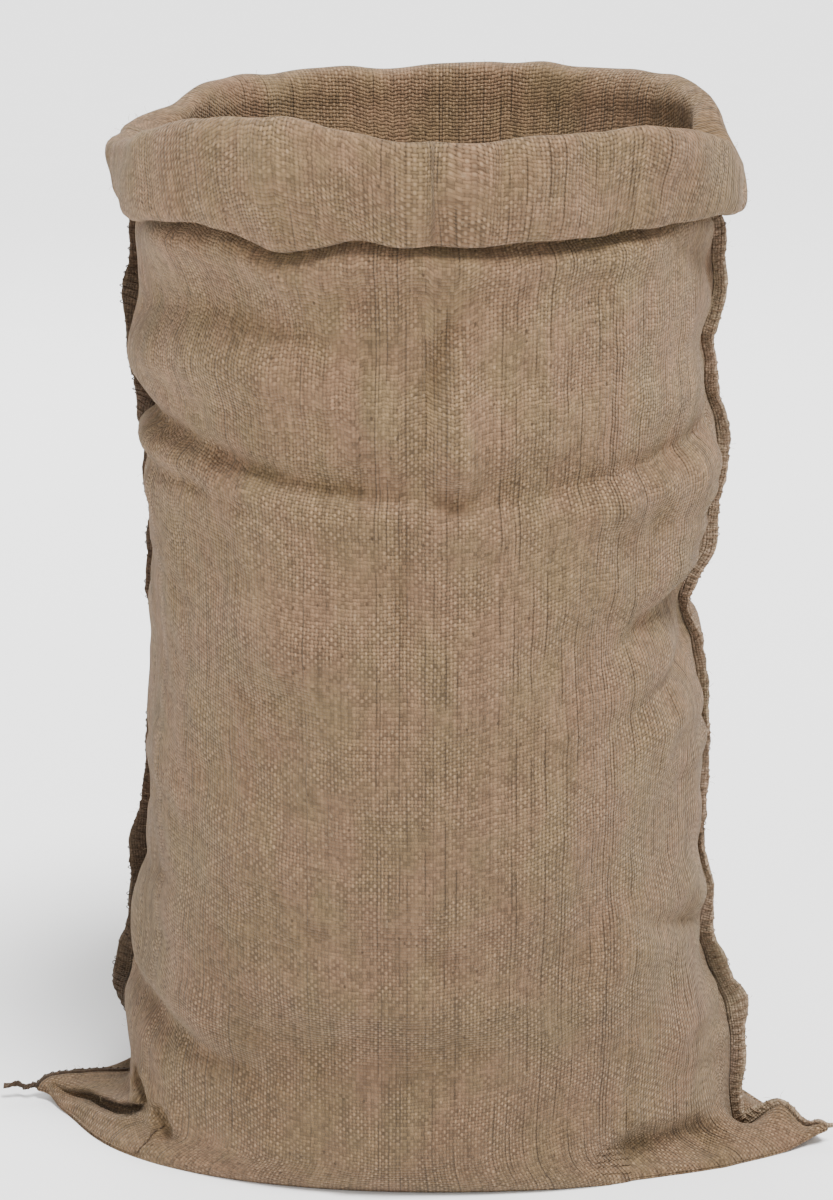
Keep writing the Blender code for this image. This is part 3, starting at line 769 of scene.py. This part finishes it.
def cloth_piece(name, grid, is_front, finish):
    """One panel as a closed sheet: its outer face, its inner face and the edges between them."""
    rows, columns = grid.shape[:2]
    above_base = smooth_step(0, 4, np.arange(rows) - BASE_STEPS)[:, None, None]
    out = unit(outward(grid, is_front) * above_base - np.array([0, 0, 1]) * (1 - above_base))
    inner = grid - out * CLOTH
    inner[..., 2] = np.maximum(inner[..., 2], CLOTH / 2)
    index = np.arange(rows * columns).reshape(rows, columns)
    quads = np.stack([index[:-1, :-1], index[:-1, 1:], index[1:, 1:], index[1:, :-1]], axis=-1).reshape(-1, 4)
    ring = np.concatenate([index[0, :-1], index[:-1, -1], index[-1, :0:-1], index[:0:-1, 0]])
    after = np.roll(ring, -1)
    far = rows * columns
    sides = np.stack([ring, ring + far, after + far, after], axis=-1)
    turn = 1 if is_front else -1
    faces = np.concatenate([quads[:, ::turn], quads[:, ::-turn] + far, sides[:, ::turn]])
    along = lengths(grid)
    u = columns_across() * HALF * np.ones((rows, 1))
    uv = np.stack([u, turn * along], axis=-1).reshape(-1, 2)
    points = np.concatenate([grid.reshape(-1, 3), inner.reshape(-1, 3)]) + TO_ORIGIN
    mesh = mesh_from(name, points, faces, np.concatenate([uv, uv]))
    piece = finished(name, mesh, finish)
    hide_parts("hessian_cloth")
    return piece, along.max()


def ringed_faces(count, size):
    """The faces of a tube of so many rings of so many points each, and of its two ends."""
    index = np.arange(count * size).reshape(count, size)
    after = np.roll(index, -1, axis=1)
    faces = np.stack([index[:-1], after[:-1], after[1:], index[1:]], axis=-1).reshape(-1, 4)
    return [tuple(face) for face in faces] + [tuple(index[0][::-1]), tuple(index[-1])]


def tube(points, radius, sides):
    """Points and faces of a thin tube along a line, with pointed ends."""
    points = np.asarray(points)
    tangent = unit(np.gradient(points, axis=0))
    first = unit(np.cross(tangent, (0.31, 0.52, 0.79)))
    second = np.cross(tangent, first)
    angle = np.arange(sides) * 2 * math.pi / sides
    size = np.full(len(points), radius)
    size[[0, -1]] *= 0.35
    ring = first[:, None] * np.cos(angle)[:, None] + second[:, None] * np.sin(angle)[:, None]
    verts = (points[:, None] + ring * size[:, None, None]).reshape(-1, 3)
    return verts, ringed_faces(len(points), sides)


def merged(parts):
    """Several (points, faces) as one."""
    points, faces, base = [], [], 0
    for verts, some in parts:
        points.append(verts)
        faces.extend(tuple(base + v for v in face) for face in some)
        base += len(verts)
    return np.concatenate(points), faces


def seam_frame(path, out, side):
    """A seam in even steps: its line, the ways its edge stands and faces, its width, and how far along."""
    under_cuff = [path[-1] + (0.0, 0.0, rise) for rise in SEAM_TOP]
    path = np.concatenate([path[:1], path, under_cuff])
    out = np.concatenate([out[:1], out, [out[-1]] * len(under_cuff)])
    path[:2, 2] += TIP_LIFT
    path[0] += (-TAIL_LENGTHS[0], 0, TAIL_LIFT) if side < 0 else (TAIL_LENGTHS[1], 0, 0)
    along = lengths(path)
    places = np.linspace(0, along[-1], int(along[-1] / EDGE_STEP) + 1)
    both = at_places(places, along, np.column_stack([path, out]))
    kernel = np.hanning(2 * EDGE_SOFTENED + 1)
    kernel /= kernel.sum()
    padded = np.pad(both, ((EDGE_SOFTENED, EDGE_SOFTENED), (0, 0)), mode="edge")
    soft = np.stack([np.convolve(column, kernel, "valid") for column in padded.T], axis=1)
    soft[0], soft[-1] = both[0], both[-1]
    path, out = soft[:, :3], unit(soft[:, 3:])
    height = path[:, 2]
    tangent = unit(np.gradient(path, axis=0))
    upward = np.array([0.0, 0.0, 1.0]) * (1 - smooth_step(0.03, 0.07, height))[:, None]
    way = out + 2 * upward
    way = unit(way - (way * tangent).sum(axis=1, keepdims=True) * tangent)
    forward = unit(np.cross(tangent, way))
    forward *= np.where(forward[:, 1:2] < 0, 1, -1)
    edge = at_places(height, [edge.height for edge in EDGES], EDGES)
    width, lean = edge[:, [1, 3] if side < 0 else [2, 4]].T
    wander = EDGE_WANDER * waves(60 + side, 0.06, 5, places) * smooth_step(*EDGE_WANDER_HEIGHTS, height)
    lean = np.radians(lean + wander)[:, None]
    width = width * (1 + EDGE_UNEVEN * waves(70 + side, 0.035, 6, places))
    if side < 0:
        twist = (1 - smooth_step(0.0, TAIL_TWISTED, places))[:, None]
        lean = lean + twist * TAIL_TURNS * 2 * math.pi
        thin = 1 - smooth_step(0.7 * TAIL_TWISTED, 1.3 * TAIL_TWISTED, places)
        width = width + (TAIL_WIDTH - width) * thin
    else:
        width = width * np.interp(places, EAR_TAPER, EAR_TAPER_WIDTHS)
    leaning = way * np.cos(lean) + forward * np.sin(lean)
    aside = forward * np.cos(lean) - way * np.sin(lean)
    return path, leaning, aside, width, places


def ear_stitches(grid, raw):
    """Short dark stitches along a line on the front panel, from its place in the cloth as first laid out."""
    start, end = (np.array(place) for place in EAR_STITCHES)
    parts = []
    for k in range(EAR_STITCH_COUNT):
        line = []
        for share, lift in ((0.12, 0.0002), (0.5, 0.0008), (0.88, 0.0002)):
            place = start + (end - start) * (k + share) / EAR_STITCH_COUNT
            away = np.linalg.norm(raw - place, axis=-1)
            nearest = np.argsort(away, axis=None)[:4]
            weight = 1 / (away.ravel()[nearest] + 1e-5)
            spot = (grid.reshape(-1, 3)[nearest] * weight[:, None]).sum(axis=0) / weight.sum()
            line.append(spot + np.array([-0.3, -0.8, 0.5]) * lift)
        parts.append(tube(line, EAR_STITCH_RADIUS, 6))
    return parts


def seam_piece(name, node, path, out, side, finish, thread, extra=()):
    """A seam's doubled edge: two layers of cloth, pressed together, and the stitches that overcast them."""
    path, leaning, aside, width, places = seam_frame(path, out, side)
    outline = list(EDGE_OUTLINE) + [(reach, -thick) for reach, thick in EDGE_OUTLINE[-2::-1]]
    rows = []
    ends = np.minimum(smooth_step(0, 0.006, places), smooth_step(0, 0.004, places[-1] - places))
    for k, (reach, thick) in enumerate(outline):
        out_by = -EDGE_SINK + (width + EDGE_SINK) * reach
        out_by = out_by + EDGE_WAVE * waves(80 + k // 2, 0.011, 5, places) * (reach > 0.8)
        aside_by = thick * EDGE_LAYER * (0.45 + 0.55 * ends) + 0.00015 * waves(90 + k, 0.008, 4, places)
        rows.append(path + leaning * out_by[:, None] + aside * aside_by[:, None])
    points = np.stack(rows, axis=1).reshape(-1, 3) + TO_ORIGIN
    uv = [(reach * wide, place) for wide, place in zip(width, places) for reach, _ in outline]
    mesh = mesh_from(name, points, ringed_faces(len(path), len(outline)), uv)
    turn_faces_out(mesh)
    edge = finished(name, mesh, finish)
    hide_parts(node)
    parts = []
    rng = np.random.default_rng(100 + side)
    frame = np.column_stack([path, leaning, aside, width])
    for loop in range(int((places[-1] - 2 * STITCH_START) / STITCH_PITCH)):
        start = STITCH_START + loop * STITCH_PITCH + rng.normal() * STITCH_JITTER
        pull = 1 + rng.normal() * 0.04
        line = []
        for reach, thick, slide in STITCH_WRAP:
            at = at_places(start + slide * STITCH_SPAN, places, frame)
            line.append(at[:3] + at[3:6] * at[9] * reach * pull + at[6:9] * thick * EDGE_LAYER)
        parts.append(tube(line, STITCH_RADIUS, 6))
    verts, faces = merged(parts + list(extra))
    name += "_stitches"
    finished(name, mesh_from(name, verts + TO_ORIGIN, faces), thread)
    return path, leaning, width


def turn_faces_out(mesh):
    work = bmesh.new()
    work.from_mesh(mesh)
    bmesh.ops.recalc_face_normals(work, faces=work.faces)
    work.to_mesh(mesh)
    work.free()


def fibre(rng, root, out, length):
    """One loose fibre: it leaves the cloth and curls back."""
    sway = unit(rng.normal(size=3))
    side = unit(np.cross(out, sway))
    curl = rng.uniform(0.2, 0.9)
    line = []
    for t in np.linspace(0, 1, 6):
        line.append(root + length * (out * (t - 0.45 * curl * t * t) + side * 0.9 * curl * t * t))
    return tube(line, FIBRE_RADIUS * rng.uniform(0.7, 1.3), 3)


def fibre_piece(grids, seams, finish):
    rng = np.random.default_rng(7)
    parts = []
    for grid, is_front in zip(grids, (True, False)):
        out = outward(grid, is_front)
        rows, columns = grid.shape[:2]
        last_wall = BASE_STEPS + EAR_ROWS + WALL_ROWS
        for _ in range(FIBRES_ON_CLOTH // 2):
            on_cuff = rng.random() < FIBRES_ON_CUFF
            # rows of the cuff or of the wall, a little in from where it ends
            span = (last_wall + 10, rows - 12) if on_cuff else (BASE_STEPS + 12, last_wall - 4)
            row, column = rng.integers(*span), rng.integers(0, columns)
            way = out[row, column] * (-1 if on_cuff else 1)
            root = grid[row, column] + (way * CLOTH if on_cuff else 0)
            parts.append(fibre(rng, root, way, rng.uniform(*FIBRE_LENGTHS)))
    for path, leaning, width in seams:
        for _ in range(FIBRES_ON_EDGES // 2):
            k = rng.integers(3, len(path) - 8)
            root = path[k] + leaning[k] * width[k] * rng.uniform(0.8, 1.0)
            way = unit(leaning[k] + 0.7 * rng.normal(size=3))
            parts.append(fibre(rng, root, way, rng.uniform(*EDGE_FIBRE_LENGTHS)))
    verts, faces = merged(parts)
    finished("loose_fibres", mesh_from("loose_fibres", verts + TO_ORIGIN, faces), finish)


# ---- Materials

class Nodes:
    """A material whose nodes are added and joined here."""

    def __init__(self, name):
        self.material = bpy.data.materials.new(name)
        self.material.use_nodes = True
        self.tree = self.material.node_tree
        self.shader = self.tree.nodes["Principled BSDF"]

    def add(self, kind, inputs=None, **settings):
        node = self.tree.nodes.new(kind)
        for key, value in settings.items():
            setattr(node, key, value)
        for key, value in (inputs or {}).items():
            self.put(node.inputs[key], value)
        return node

    def finish(self, colour, roughness, relief, distance, strength=1):
        """The finished material, with these on its shader, and the relief as bumps of a height in metres."""
        bumps = self.add("ShaderNodeBump", {"Height": relief, "Distance": distance, "Strength": strength})
        for key, value in (("Base Color", colour), ("Roughness", roughness), ("Normal", bumps.outputs[0])):
            self.put(self.shader.inputs[key], value)
        return self.material

    def put(self, socket, value):
        if isinstance(value, bpy.types.NodeSocket):
            self.tree.links.new(value, socket)
        else:
            socket.default_value = value

    def math(self, operation, *values):
        node = self.add("ShaderNodeMath", operation=operation)
        for socket, value in zip(node.inputs, values):
            self.put(socket, value)
        return node.outputs[0]

    def plus(self, *values):
        return self.math("ADD", *values)

    def times(self, *values):
        return self.math("MULTIPLY", *values)

    def scaled(self, value, factor, base):
        """value x factor + base"""
        return self.math("MULTIPLY_ADD", value, factor, base)

    def rest(self, value):
        """What is left of 1."""
        return self.math("SUBTRACT", 1, value)

    def centred(self, value):
        return self.math("SUBTRACT", value, 0.5)

    def noise(self, vector, scale, detail=2, roughness=0.5):
        inputs = {"Vector": vector, "Scale": scale, "Detail": detail, "Roughness": roughness}
        return self.add("ShaderNodeTexNoise", inputs).outputs["Fac"]

    def ramp(self, value, low, high):
        """From 0 to 1, smoothly, as the value goes from low to high."""
        inputs = {"Value": value, "From Min": low, "From Max": high}
        return self.add("ShaderNodeMapRange", inputs, interpolation_type="SMOOTHSTEP").outputs["Result"]

    def mix(self, share, first, second, blend="MIX"):
        """Two colours mixed: 0, 6 and 7 are the inputs of a Mix node that colours use."""
        node = self.add("ShaderNodeMix", data_type="RGBA", blend_type=blend)
        for index, value in ((0, share), (6, first), (7, second)):
            self.put(node.inputs[index], value)
        return node.outputs[2]

    def vector(self, x, y, z=0):
        return self.add("ShaderNodeCombineXYZ", {"X": x, "Y": y, "Z": z}).outputs[0]

    def random(self, value):
        return self.add("ShaderNodeTexWhiteNoise", {"W": value}, noise_dimensions="1D").outputs["Value"]


def tinted(colour, tint):
    return (*(part * by for part, by in zip(colour, tint)), 1)


def woven(name, base, gap, light, pitch, bump=1):
    """Plain-woven jute: upright and level threads over and under each other, uneven in width and in colour.

    base, gap and light are the colours of the threads, of the holes between them, which as painted shade also
    darken the weave's hollows and the gaps where threads part, and of a painted highlight on the tops of the
    upright threads, which also tints pale flecks. pitch is how far apart the threads lie, in metres. The relief
    is bump times the plain weave's.
    """
    n = Nodes(name)
    place = n.add("ShaderNodeUVMap", uv_map=UV_NAME).outputs["UV"]
    split = n.add("ShaderNodeSeparateXYZ", {"Vector": place})
    u, v = split.outputs[0], split.outputs[1]
    solid = n.add("ShaderNodeTexCoord").outputs["Object"]

    def stretched(across_scale, along_scale, seed, detail=2, roughness=0.5):
        """Noise drawn out along the cloth, about 0."""
        vector = n.vector(n.times(u, across_scale), n.times(v, along_scale), seed)
        return n.centred(n.noise(vector, 1, detail, roughness))

    def threads(run, spacing_seed, drift):
        """Which thread a place lies on, and how far across it: the threads differ in width and wander."""
        narrow = n.noise(n.vector(n.times(run, 0.55 / pitch), spacing_seed), 1, 1)
        count = n.scaled(narrow, 0.62, n.times(run, 1 / pitch))
        return n.scaled(drift, 1.3, count)

    across = threads(u, 2.7, n.times(stretched(46, 13, 0, 3), 0.7))
    along = threads(v, 9.1, stretched(13, 46, 7, 3))
    i, j = n.math("FLOOR", across), n.math("FLOOR", along)
    fu, fv = n.math("FRACT", across), n.math("FRACT", along)

    def back(part, power):
        return n.math("POWER", n.math("SINE", n.times(part, math.pi)), power)

    def over(run, other, shift):
        """1 where a thread lies on top, 0 where it dips under."""
        turn = n.times(n.plus(n.plus(run, other), shift), math.pi)
        return n.scaled(n.math("COSINE", turn), 0.5, 0.5)

    fullness = n.scaled(stretched(190, 34, 4), 0.9, 0.75)
    over_i, over_j = over(along, i, -0.5), over(across, j, 0.5)
    high_i = n.times(back(fu, fullness), n.scaled(over_i, 0.58, 0.42))
    high_j = n.times(back(fv, 0.55), n.scaled(over_j, 0.42, 0.44))
    height = n.math("SMOOTH_MAX", high_i, high_j, 0.1)
    fuzz = n.noise(solid, 2100, 3, 0.65)
    strands = stretched(2600, 520, 1, 2, 0.6)
    relief = n.plus(height, n.plus(n.times(fuzz, 0.3), n.times(strands, 0.3)))

    # colour: slow changes over the cloth, then each thread and each knuckle, streaks, and darker lower down
    hue = stretched(30, 16, 3, 4, 0.6)
    colour = n.mix(n.ramp(hue, 0.16, -0.16), tinted(base, PINKER), tinted(base, GREENER))
    blotch = n.noise(solid, 15, 4, 0.55)
    colour = n.mix(n.times(n.ramp(blotch, 0.42, 0.74), 0.5), colour, tinted(base, DULLER))
    pick = n.math("GREATER_THAN", high_i, high_j)
    tone_i, tone_j = n.random(n.plus(i, 91.7)), n.random(n.plus(j, 33.1))
    tone = n.plus(n.times(pick, tone_i), n.times(n.rest(pick), tone_j))
    knuckle = n.random(n.scaled(j, 0.731, n.times(i, 17.13)))
    shade = n.scaled(n.centred(tone), 0.16, 1)
    shade = n.scaled(n.centred(knuckle), 0.54, shade)
    for streak, strength in (((430, 15, 5, 2), 0.7), ((120, 6, 6, 3), 0.5), ((26, 170, 8, 2), 0.14)):
        shade = n.scaled(stretched(*streak), strength, shade)
    up = n.add("ShaderNodeSeparateXYZ", {"Vector": solid}).outputs[2]
    for high, low, darker in ((0.42, -0.02, 0.18), (0.5, 0.38, 0.1)):
        shade = n.times(shade, n.scaled(n.ramp(up, high, low), -darker, 1))
    grey = n.add("ShaderNodeCombineColor", {"Red": shade, "Green": shade, "Blue": shade}).outputs[0]
    colour = n.mix(1, colour, grey, "MULTIPLY")
    # painted highlight: the tops of the upright threads, where they lie over, are lightened towards the light
    # colour
    clear = n.scaled(n.ramp(n.noise(solid, 34, 2), 0.36, 0.62), 0.72, 0.28)
    knuckle_highlight = n.times(n.scaled(knuckle, 0.8, 0.55), clear)
    colour = n.mix(n.times(n.ramp(high_i, 0.6, 0.98), n.times(knuckle_highlight, 0.47)), colour, (*light, 1))
    # painted shade: the hollows of the weave are darkened towards the colour of the holes
    depth = n.rest(n.ramp(height, 0.16, 0.74))
    colour = n.mix(n.times(n.times(depth, clear), 0.95), colour, (*gap, 1))

    # some upright threads stand apart from their neighbour, and the gap between them is painted as a dark
    # broken line of shade
    apart = n.ramp(n.random(n.plus(i, 7.9)), 0.72, 0.86)
    run = n.noise(n.vector(n.times(v, 30), n.times(i, 5.31)), 1, 3)
    side = n.rest(n.ramp(n.math("ABSOLUTE", n.math("SUBTRACT", fu, 0.04)), 0.06, 0.4))
    line = n.times(n.times(apart, n.ramp(run, 0.45, 0.56)), side)
    line = n.times(line, n.scaled(back(fv, 1), -0.3, 1))
    colour = n.mix(n.times(line, 0.9), colour, (*gap, 1))

    # dark and pale bits spun into the thread
    spots = n.vector(n.times(u, 300), n.times(v, 190))
    flecks = n.add("ShaderNodeTexVoronoi", {"Vector": spots, "Scale": 1, "Randomness": 1})
    near = n.rest(n.ramp(flecks.outputs["Distance"], 0.12, 0.3))
    chosen = n.add("ShaderNodeSeparateColor", {"Color": flecks.outputs["Color"]}).outputs[0]
    dark = n.times(near, n.math("GREATER_THAN", chosen, 0.925))
    pale = n.times(near, n.math("LESS_THAN", chosen, 0.04))
    colour = n.mix(n.times(dark, 0.75), colour, tinted(gap, DARKER))
    colour = n.mix(n.times(pale, 0.4), colour, (*light, 1))

    relief = n.scaled(line, -0.6, relief)
    n.shader.inputs["Specular IOR Level"].default_value = 0.22
    n.shader.inputs["Sheen Weight"].default_value = 0.12
    n.shader.inputs["Sheen Roughness"].default_value = 0.55
    n.shader.inputs["Sheen Tint"].default_value = (0.95, 0.84, 0.7, 1)
    return n.finish(colour, n.scaled(height, -0.1, 0.96), relief, WEAVE_RELIEF * bump)


def spun(name, base, dark):
    """Jute twine and fibre: fine strands, uneven in colour."""
    n = Nodes(name)
    solid = n.add("ShaderNodeTexCoord").outputs["Object"]
    mottle = n.noise(solid, 420, 3, 0.6)
    strands = n.noise(solid, 2600, 2, 0.6)
    colour = n.mix(n.ramp(mottle, 0.35, 0.65), (*base, 1), (*dark, 1))
    colour = n.mix(n.times(n.ramp(strands, 0.5, 0.8), 0.5), colour, (*dark, 1))
    n.shader.inputs["Specular IOR Level"].default_value = 0.25
    return n.finish(colour, n.scaled(mottle, 0.1, 0.85), strands, TWINE_RELIEF, 0.8)


def plain_floor():
    n = Nodes("pale floor")
    grain = n.noise(n.add("ShaderNodeTexCoord").outputs["Object"], 6, 3)
    n.put(n.shader.inputs["Base Color"], n.mix(grain, *FLOOR))
    n.shader.inputs["Roughness"].default_value = 0.9
    n.shader.inputs["Specular IOR Level"].default_value = 0.1
    return n.material


# ---- Light, floor and camera

def lamp(name, kind, place, power, size):
    data = bpy.data.lights.new(name, kind)
    data.energy = power
    if kind == "SUN":
        data.angle = math.radians(size)
    else:
        data.size = size
    x, y, z = np.array(LIT_PLACE) - place
    placed(name, data, place, (math.atan2(math.hypot(x, y), -z), 0, math.atan2(-x, y)))


def studio():
    corners = [(x * FLOOR_REACH, y * FLOOR_REACH, 0) for x, y in ((-1, -1), (1, -1), (1, 1), (-1, 1))]
    mesh = mesh_from("floor", corners, [(0, 1, 2, 3)])
    mesh.materials.append(plain_floor())
    floor = placed("floor", mesh)
    world = bpy.data.worlds.new("soft studio")
    world.use_nodes = True
    back = world.node_tree.nodes["Background"]
    back.inputs["Color"].default_value = (1, 1, 1, 1)
    back.inputs["Strength"].default_value = WORLD_STRENGTH
    bpy.context.scene.world = world
    for light in LIGHTS:
        lamp(*light)


def camera():
    data = bpy.data.cameras.new("photo view")
    data.lens = CAMERA_LENS
    data.sensor_width = SENSOR
    made = placed("photo view", data, np.array(CAMERA_PLACE) + TO_ORIGIN, (math.pi / 2 - CAMERA_DOWN, 0, 0))
    bpy.context.scene.camera = made


def main():
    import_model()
    hessian = woven("hessian weave", *HESSIAN, WEAVE_PITCH)
    # the left edge's cloth, darkened as painted shade
    painted_shade_edge = woven("edge weave with painted shade", *PAINTED_SHADE_EDGE, EDGE_PITCH, bump=0.6)
    # the right edge's cloth, lightened as painted light
    painted_light_edge = woven("edge weave with painted light", *PAINTED_LIGHT_EDGE, EDGE_PITCH, bump=0.7)
    # the left edge's twine, darkened as painted shade
    painted_shade_twine = spun("jute twine with painted shade", *PAINTED_SHADE_TWINE)
    pale_twine = spun("pale jute twine", *PALE_TWINE)
    fluff = spun("jute fibre", *FLUFF)
    grids, seams, raw = panels()
    for name, grid, is_front in (("front_panel", grids[0], True), ("back_panel", grids[1], False)):
        piece, length = cloth_piece(name, grid, is_front, hessian)
    in_ear = ear_stitches(grids[0][BASE_STEPS:][: len(raw)], raw)
    ways = [
        seam_piece("left_edge", "left_seam", *seams[0], -1, painted_shade_edge, painted_shade_twine, in_ear),
        seam_piece("right_edge", "right_seam", *seams[1], 1, painted_light_edge, pale_twine),
    ]
    fibre_piece(grids, ways, fluff)
    studio()
    camera()


main()
